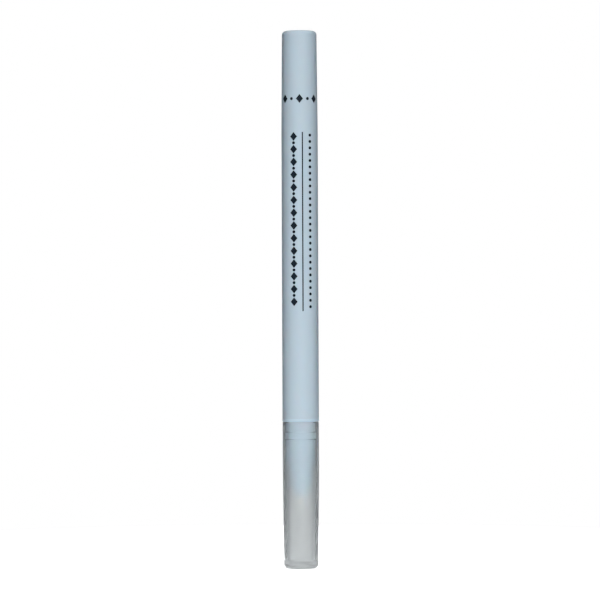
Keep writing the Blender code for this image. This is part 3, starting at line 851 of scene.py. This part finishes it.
class CORRECTOR_PEN_OT_print(bpy.types.Operator):
    """Print the thin rule between its two rows of plain marks, and the short band near the barrel's end"""

    bl_idname = "corrector_pen.print"
    bl_label = "Print"

    def execute(self, context):
        pen = context.scene.corrector_pen
        s = pen.marks
        bm = bmesh.new()
        self.rule(bm, s)
        lozenges = math.floor((s.top - s.bottom) / s.large_pitch)
        for i in range(lozenges):
            height = s.top - s.large_height / 2 - i * s.large_pitch
            self.lozenge(bm, s, s.large_offset, height)
            if i < lozenges - 1:
                self.dot(bm, s, s.large_offset, height - s.large_pitch / 2)
        for i in range(math.floor((s.top - s.bottom) / s.small_pitch)):
            self.dot(bm, s, s.small_offset, s.top - s.dot_width - i * s.small_pitch)
        # The band shows a lozenge in the middle and at both sides, with dots between them
        for i in range(-2, 3):
            mark = self.dot if i % 2 else self.lozenge
            mark(bm, s, i * s.band_spacing, s.band_height)
        self.wrap(bm, s, pen.barrel)
        piece("barrel_print", bm, printed_ink(tuple(s.ink)), "pen")
        return {"FINISHED"}

    def rule(self, bm, s):
        """The thin rule, as a flat strip that runs along the barrel."""
        middle = Matrix.Translation((s.rule_offset, 0.0, (s.top + s.bottom) / 2))
        size = Matrix.Diagonal((s.rule_width, 1.0, s.top - s.bottom, 1.0))
        bmesh.ops.create_grid(bm, x_segments=1, y_segments=1, size=0.5, matrix=middle @ size @ UPRIGHT)

    def dot(self, bm, s, across, height):
        """A flat dot."""
        self.mark(bm, across, height, s.dot_width, s.dot_width, DOT_CORNERS)

    def lozenge(self, bm, s, across, height):
        """A flat lozenge, which is a stretched circle of four corners."""
        self.mark(bm, across, height, s.large_width, s.large_height, 4)

    def mark(self, bm, across, height, width, tall, corners):
        """A flat circle of these corners, stretched to this width and height."""
        place = Matrix.Translation((across, 0.0, height)) @ Matrix.Diagonal((width / 2, 1.0, tall / 2, 1.0))
        bmesh.ops.create_circle(bm, cap_ends=True, segments=corners, radius=1.0, matrix=place @ UPRIGHT)

    def wrap(self, bm, s, barrel):
        """Gives the flat marks their thickness and bends them round the barrel."""
        reach = math.pi * BARREL_RADIUS / 2
        for across in evenly(-reach, reach, BENDS_ROUND):
            cut_across(bm, (across, 0, 0), (1, 0, 0))
        # The drawn-in end is not straight along the barrel, so the long strip is divided there too
        for height in evenly(s.bottom, s.top, BENDS_ALONG):
            cut_across(bm, (0, 0, height), (0, 0, 1))
        sunk = 0.02 * MM
        grown = bmesh.ops.extrude_face_region(bm, geom=bm.faces[:], use_keep_orig=True)["geom"]
        for part in grown:
            if isinstance(part, bmesh.types.BMVert):
                part.co.y -= s.thickness + sunk
        for vert in bm.verts:
            turned = vert.co.x / BARREL_RADIUS
            out = barrel_radius(barrel, vert.co.z) - sunk - vert.co.y
            vert.co.xy = out * math.sin(turned), -out * math.cos(turned)
        bmesh.ops.recalc_face_normals(bm, faces=bm.faces)


class CORRECTOR_PEN_OT_stage(bpy.types.Operator):
    """Set the floor, the lights, the plain room and the camera"""

    bl_idname = "corrector_pen.stage"
    bl_label = "Stage"

    def execute(self, context):
        s = context.scene.corrector_pen.studio
        scene = context.scene
        scene.view_settings.view_transform = "Standard"
        self.room(scene, s)
        self.floor(s)
        self.cards(s)
        self.softbox("key_softbox", KEY_PLACE, KEY_SIZE, s.key_power)
        self.softbox("key_inside", KEY_PLACE, KEY_SIZE, s.key_inside, inside=True)
        self.softbox("fill_softbox", FILL_PLACE, FILL_SIZE, s.fill_power)
        for side in (-1, 1):
            place = (side * REAR_PLACE[0], *REAR_PLACE[1:])
            self.softbox(f"rear_softbox_{side + 1}", place, REAR_SIZE, s.rear_power)
            self.softbox(f"rear_inside_{side + 1}", place, REAR_SIZE, s.rear_inside, inside=True)
        self.top_spot(s)
        self.camera(scene, s)
        return {"FINISHED"}

    def room(self, scene, s):
        """A room that lights dimly and evenly, and shows white where it is looked at."""
        world = bpy.data.worlds.new("white room")
        scene.world = world
        world.use_nodes = True
        tree = world.node_tree
        level = add_node(
            tree, "ShaderNodeMapRange", {"To Min": s.ambient, "To Max": 1.0}, {"Value": looked_along(tree)}
        )
        tree.links.new(level.outputs["Result"], tree.nodes["Background"].inputs["Strength"])
        tree.nodes["Background"].inputs["Color"].default_value = (1.0, 1.0, 1.0, 1.0)

    def floor(self, s):
        """A white paper disc, which glows where it is looked at, so that it shows white with a faint shadow.

        It is small, because a wide one throws so much light up that the barrel's edges lose their shade.
        """
        material, tree, shader = new_material("white paper", base_color=linear("#F4F4F4"), roughness=0.9)
        # Under the foot no light gets in, so there the glow is taken away by distance from the axis: a
        # painted shadow, which the clear foot of the cap shows
        painted_shadow_radius, full_glow_radius = 0.5 * CAP_RADIUS, 0.95 * CAP_RADIUS
        place = add_node(tree, "ShaderNodeTexCoord")
        away = add_node(tree, "ShaderNodeVectorMath", {"operation": "LENGTH"}, {0: place.outputs["Object"]})
        glow_past_painted_shadow = add_node(
            tree,
            "ShaderNodeMapRange",
            {"From Min": painted_shadow_radius, "From Max": full_glow_radius, "To Max": s.floor_glow},
            {"Value": away.outputs["Value"]},
        )
        level = add_node(
            tree,
            "ShaderNodeMath",
            {"operation": "MULTIPLY"},
            {0: looked_along(tree), 1: glow_past_painted_shadow.outputs["Result"]},
        )
        glow = add_node(
            tree, "ShaderNodeEmission", {"Color": (1.0, 1.0, 1.0, 1.0)}, {"Strength": level.outputs[0]}
        )
        both = add_node(tree, "ShaderNodeAddShader", {}, {0: shader.outputs[0], 1: glow.outputs[0]})
        tree.links.new(both.outputs[0], tree.nodes["Material Output"].inputs["Surface"])
        bm = bmesh.new()
        under = Matrix.Translation((0.0, 0.0, -s.floor_drop))
        bmesh.ops.create_circle(bm, cap_ends=True, segments=96, radius=s.floor_radius, matrix=under)
        piece("floor", bm, material)

    def cards(self, s):
        """Grey cards beside and over the pen, which show the same grey in any light.

        Only gloss and the clear cap show them, as dark edges. They cast no shadow.
        """
        half_height = BARREL_END / 2
        depth = s.card_front + s.card_reach
        behind = Matrix.Translation((0.0, (s.card_reach - s.card_front) / 2, half_height))
        beside = (s.card_distance, BARREL_END + 2 * s.card_distance)
        over = (half_height + s.card_distance, 2 * s.card_distance)
        bm = bmesh.new()
        for lean, (away, width) in ((-90, beside), (0, over), (90, beside)):
            around = Matrix.Rotation(math.radians(lean), 4, "Y")
            size = Matrix.Diagonal((width, depth, 1.0, 1.0))
            place = behind @ around @ Matrix.Translation((0.0, 0.0, away)) @ size
            bmesh.ops.create_grid(bm, x_segments=1, y_segments=1, size=0.5, matrix=place)
        # The cards are no board lit by the lamps: they glow at a fixed grey, as painted shade that the pen's
        # gloss and the clear cap show as dark edges
        material, _, _ = new_material(
            "glowing grey card",
            base_color=linear("#000000"),
            roughness=0.9,
            emission_color=tuple(s.card_grey),
            emission_strength=1.0,
        )
        made = piece("cards", bm, material)
        made.visible_camera = made.visible_diffuse = made.visible_shadow = False

    def lamp(self, name, kind, power, place):
        """A lamp and its object."""
        lamp = bpy.data.lights.new(name, kind)
        lamp.energy = power
        made = bpy.data.objects.new(name, lamp)
        bpy.context.scene.collection.objects.link(made)
        made.location = place
        return lamp, made

    def softbox(self, name, place, size, power, inside=False):
        """A soft rectangular light that faces the middle of the pen, and shows as no glint.

        One for the inside lights only what stands in the cap: its light has to go through the cap's wall.
        """
        lamp, made = self.lamp(name, "AREA", power, place)
        lamp.shape = "RECTANGLE"
        lamp.size, lamp.size_y = size
        aim = Vector((0.0, 0.0, BARREL_END / 2)) - Vector(place)
        made.rotation_euler = aim.to_track_quat("-Z", "Y").to_euler()
        made.visible_camera = made.visible_glossy = False
        made.visible_transmission, made.visible_diffuse = inside, not inside
        if inside:
            lamp.use_nodes = True
            tree = lamp.node_tree
            path = add_node(tree, "ShaderNodeLightPath")
            behind = add_node(tree, "ShaderNodeMapRange", {}, {"Value": path.outputs["Diffuse Depth"]})
            tree.links.new(behind.outputs["Result"], tree.nodes["Emission"].inputs["Strength"])

    def top_spot(self, s):
        """A spot straight over the pen, so narrow that it lights little more than the barrel's closed end."""
        lamp, _ = self.lamp("top_spot", "SPOT", s.top_power, (0.0, 0.0, BARREL_END + s.top_distance))
        lamp.spot_size = 2 * math.atan(s.top_spread * BARREL_RADIUS / s.top_distance)
        lamp.spot_blend = 0.5
        lamp.shadow_soft_size = BARREL_RADIUS

    def camera(self, scene, s):
        """A long lens at the pen's middle height, square to it."""
        data = bpy.data.cameras.new("camera")
        data.sensor_width = 36.0
        data.lens = data.sensor_width * s.distance / s.frame_width
        data.clip_start, data.clip_end = 0.05, 20.0
        made = bpy.data.objects.new("camera", data)
        scene.collection.objects.link(made)
        made.location = (s.side, -s.distance, s.height)
        made.rotation_euler = (math.radians(90), s.roll, 0.0)
        scene.camera = made


class VIEW3D_PT_corrector_pen(bpy.types.Panel):
    """The pen's operators and settings in the sidebar"""

    bl_label = "Corrector Pen"
    bl_space_type = "VIEW_3D"
    bl_region_type = "UI"
    bl_category = "Corrector Pen"

    def draw(self, context):
        for operator in OPERATORS:
            self.layout.operator(operator.bl_idname)
        for group in CorrectorPenSettings.__annotations__:
            settings = getattr(context.scene.corrector_pen, group)
            box = self.layout.box()
            box.label(text=group.replace("_", " ").title())
            for name in settings.__annotations__:
                box.prop(settings, name)


OPERATORS = (
    CORRECTOR_PEN_OT_barrel,
    CORRECTOR_PEN_OT_front_section,
    CORRECTOR_PEN_OT_cap,
    CORRECTOR_PEN_OT_nib,
    CORRECTOR_PEN_OT_reservoir,
    CORRECTOR_PEN_OT_print,
    CORRECTOR_PEN_OT_stage,
)
CLASSES = (
    BarrelSettings,
    FrontSectionSettings,
    CapSettings,
    NibSettings,
    PrintSettings,
    StudioSettings,
    CorrectorPenSettings,
    *OPERATORS,
    VIEW3D_PT_corrector_pen,
)


def register():
    for cls in CLASSES:
        bpy.utils.register_class(cls)
    bpy.types.Scene.corrector_pen = PointerProperty(type=CorrectorPenSettings)


def unregister():
    del bpy.types.Scene.corrector_pen
    for cls in reversed(CLASSES):
        bpy.utils.unregister_class(cls)


def main():
    """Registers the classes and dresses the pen."""
    register()
    bpy.ops.corrector_pen.barrel()
    bpy.ops.corrector_pen.front_section()
    bpy.ops.corrector_pen.cap()
    bpy.ops.corrector_pen.nib()
    bpy.ops.corrector_pen.reservoir()
    bpy.ops.corrector_pen.print()
    bpy.ops.corrector_pen.stage()


if __name__ == "__main__":
    main()
